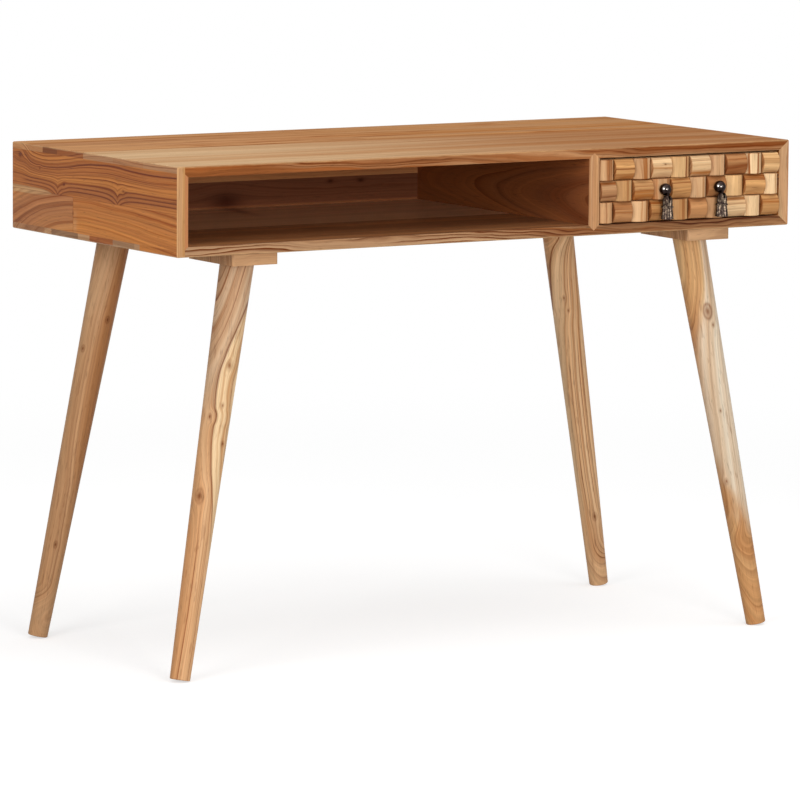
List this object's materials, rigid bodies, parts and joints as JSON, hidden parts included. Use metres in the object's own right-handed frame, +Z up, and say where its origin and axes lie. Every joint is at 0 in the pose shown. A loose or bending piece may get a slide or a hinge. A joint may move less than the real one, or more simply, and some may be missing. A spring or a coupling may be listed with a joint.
{
  "type": "writing desk",
  "caption": "Wooden writing desk: mitred case with an open shelf beside a basket-weave drawer with tassel drop pulls, on splayed tapered legs.",
  "frame": {"origin": "on the floor under the middle of the overall box, with the pulls counted in", "axes": "+Z up, +X along the width toward the drawer, -Y out of the open front"},
  "size_m": [1.07, 0.5252, 0.75],
  "materials": {
    "acacia": "satin lacquer",
    "tile_acacia": "satin lacquer",
    "drawer_wood": "plain sanded",
    "steel": "zinc plated",
    "bronze": "dark antique bronze"
  },
  "bodies": {
    "desk": {"top_panel": "acacia", "bottom_panel": "acacia", "left_side": "acacia", "right_side": "acacia", "divider": "acacia", "back_panel": "acacia", "front_left_leg": "acacia", "front_right_leg": "acacia", "back_left_leg": "acacia", "back_right_leg": "acacia", "front_left_leg_block": "acacia", "front_right_leg_block": "acacia", "back_left_leg_block": "acacia", "back_right_leg_block": "acacia", "hanger_bolts": "steel", "threaded_inserts": "steel", "block_screws": "steel", "drawer_stops": "drawer_wood", "pull_out_catch": "drawer_wood"},
    "drawer": {"drawer_front": "drawer_wood", "drawer_left_side": "drawer_wood", "drawer_right_side": "drawer_wood", "drawer_back": "drawer_wood", "drawer_bottom": "drawer_wood", "lower_row_upright_tiles": "tile_acacia", "lower_row_level_tiles": "tile_acacia", "middle_row_upright_tiles": "tile_acacia", "middle_row_level_tiles": "tile_acacia", "upper_row_upright_tiles": "tile_acacia", "upper_row_level_tiles": "tile_acacia", "left_knob": "bronze", "right_knob": "bronze", "drop_pins": "bronze", "knob_screws": "steel"},
    "left_tassel": {"left_drop": "bronze"},
    "right_tassel": {"right_drop": "bronze"}
  },
  "joints": [
    {"name": "drawer_slide", "type": "slide", "parent": "desk", "child": "drawer", "axis": [0, -1, 0], "range_m": [0, 0.29]},
    {"name": "left_tassel_swing", "type": "hinge", "parent": "drawer", "child": "left_tassel", "pos_m": [0.301, -0.25288, 0.6725], "axis": [-1, 0, 0], "range_deg": [0, 45]},
    {"name": "right_tassel_swing", "type": "hinge", "parent": "drawer", "child": "right_tassel", "pos_m": [0.4005, -0.25288, 0.6725], "axis": [-1, 0, 0], "range_deg": [0, 45]}
  ]
}
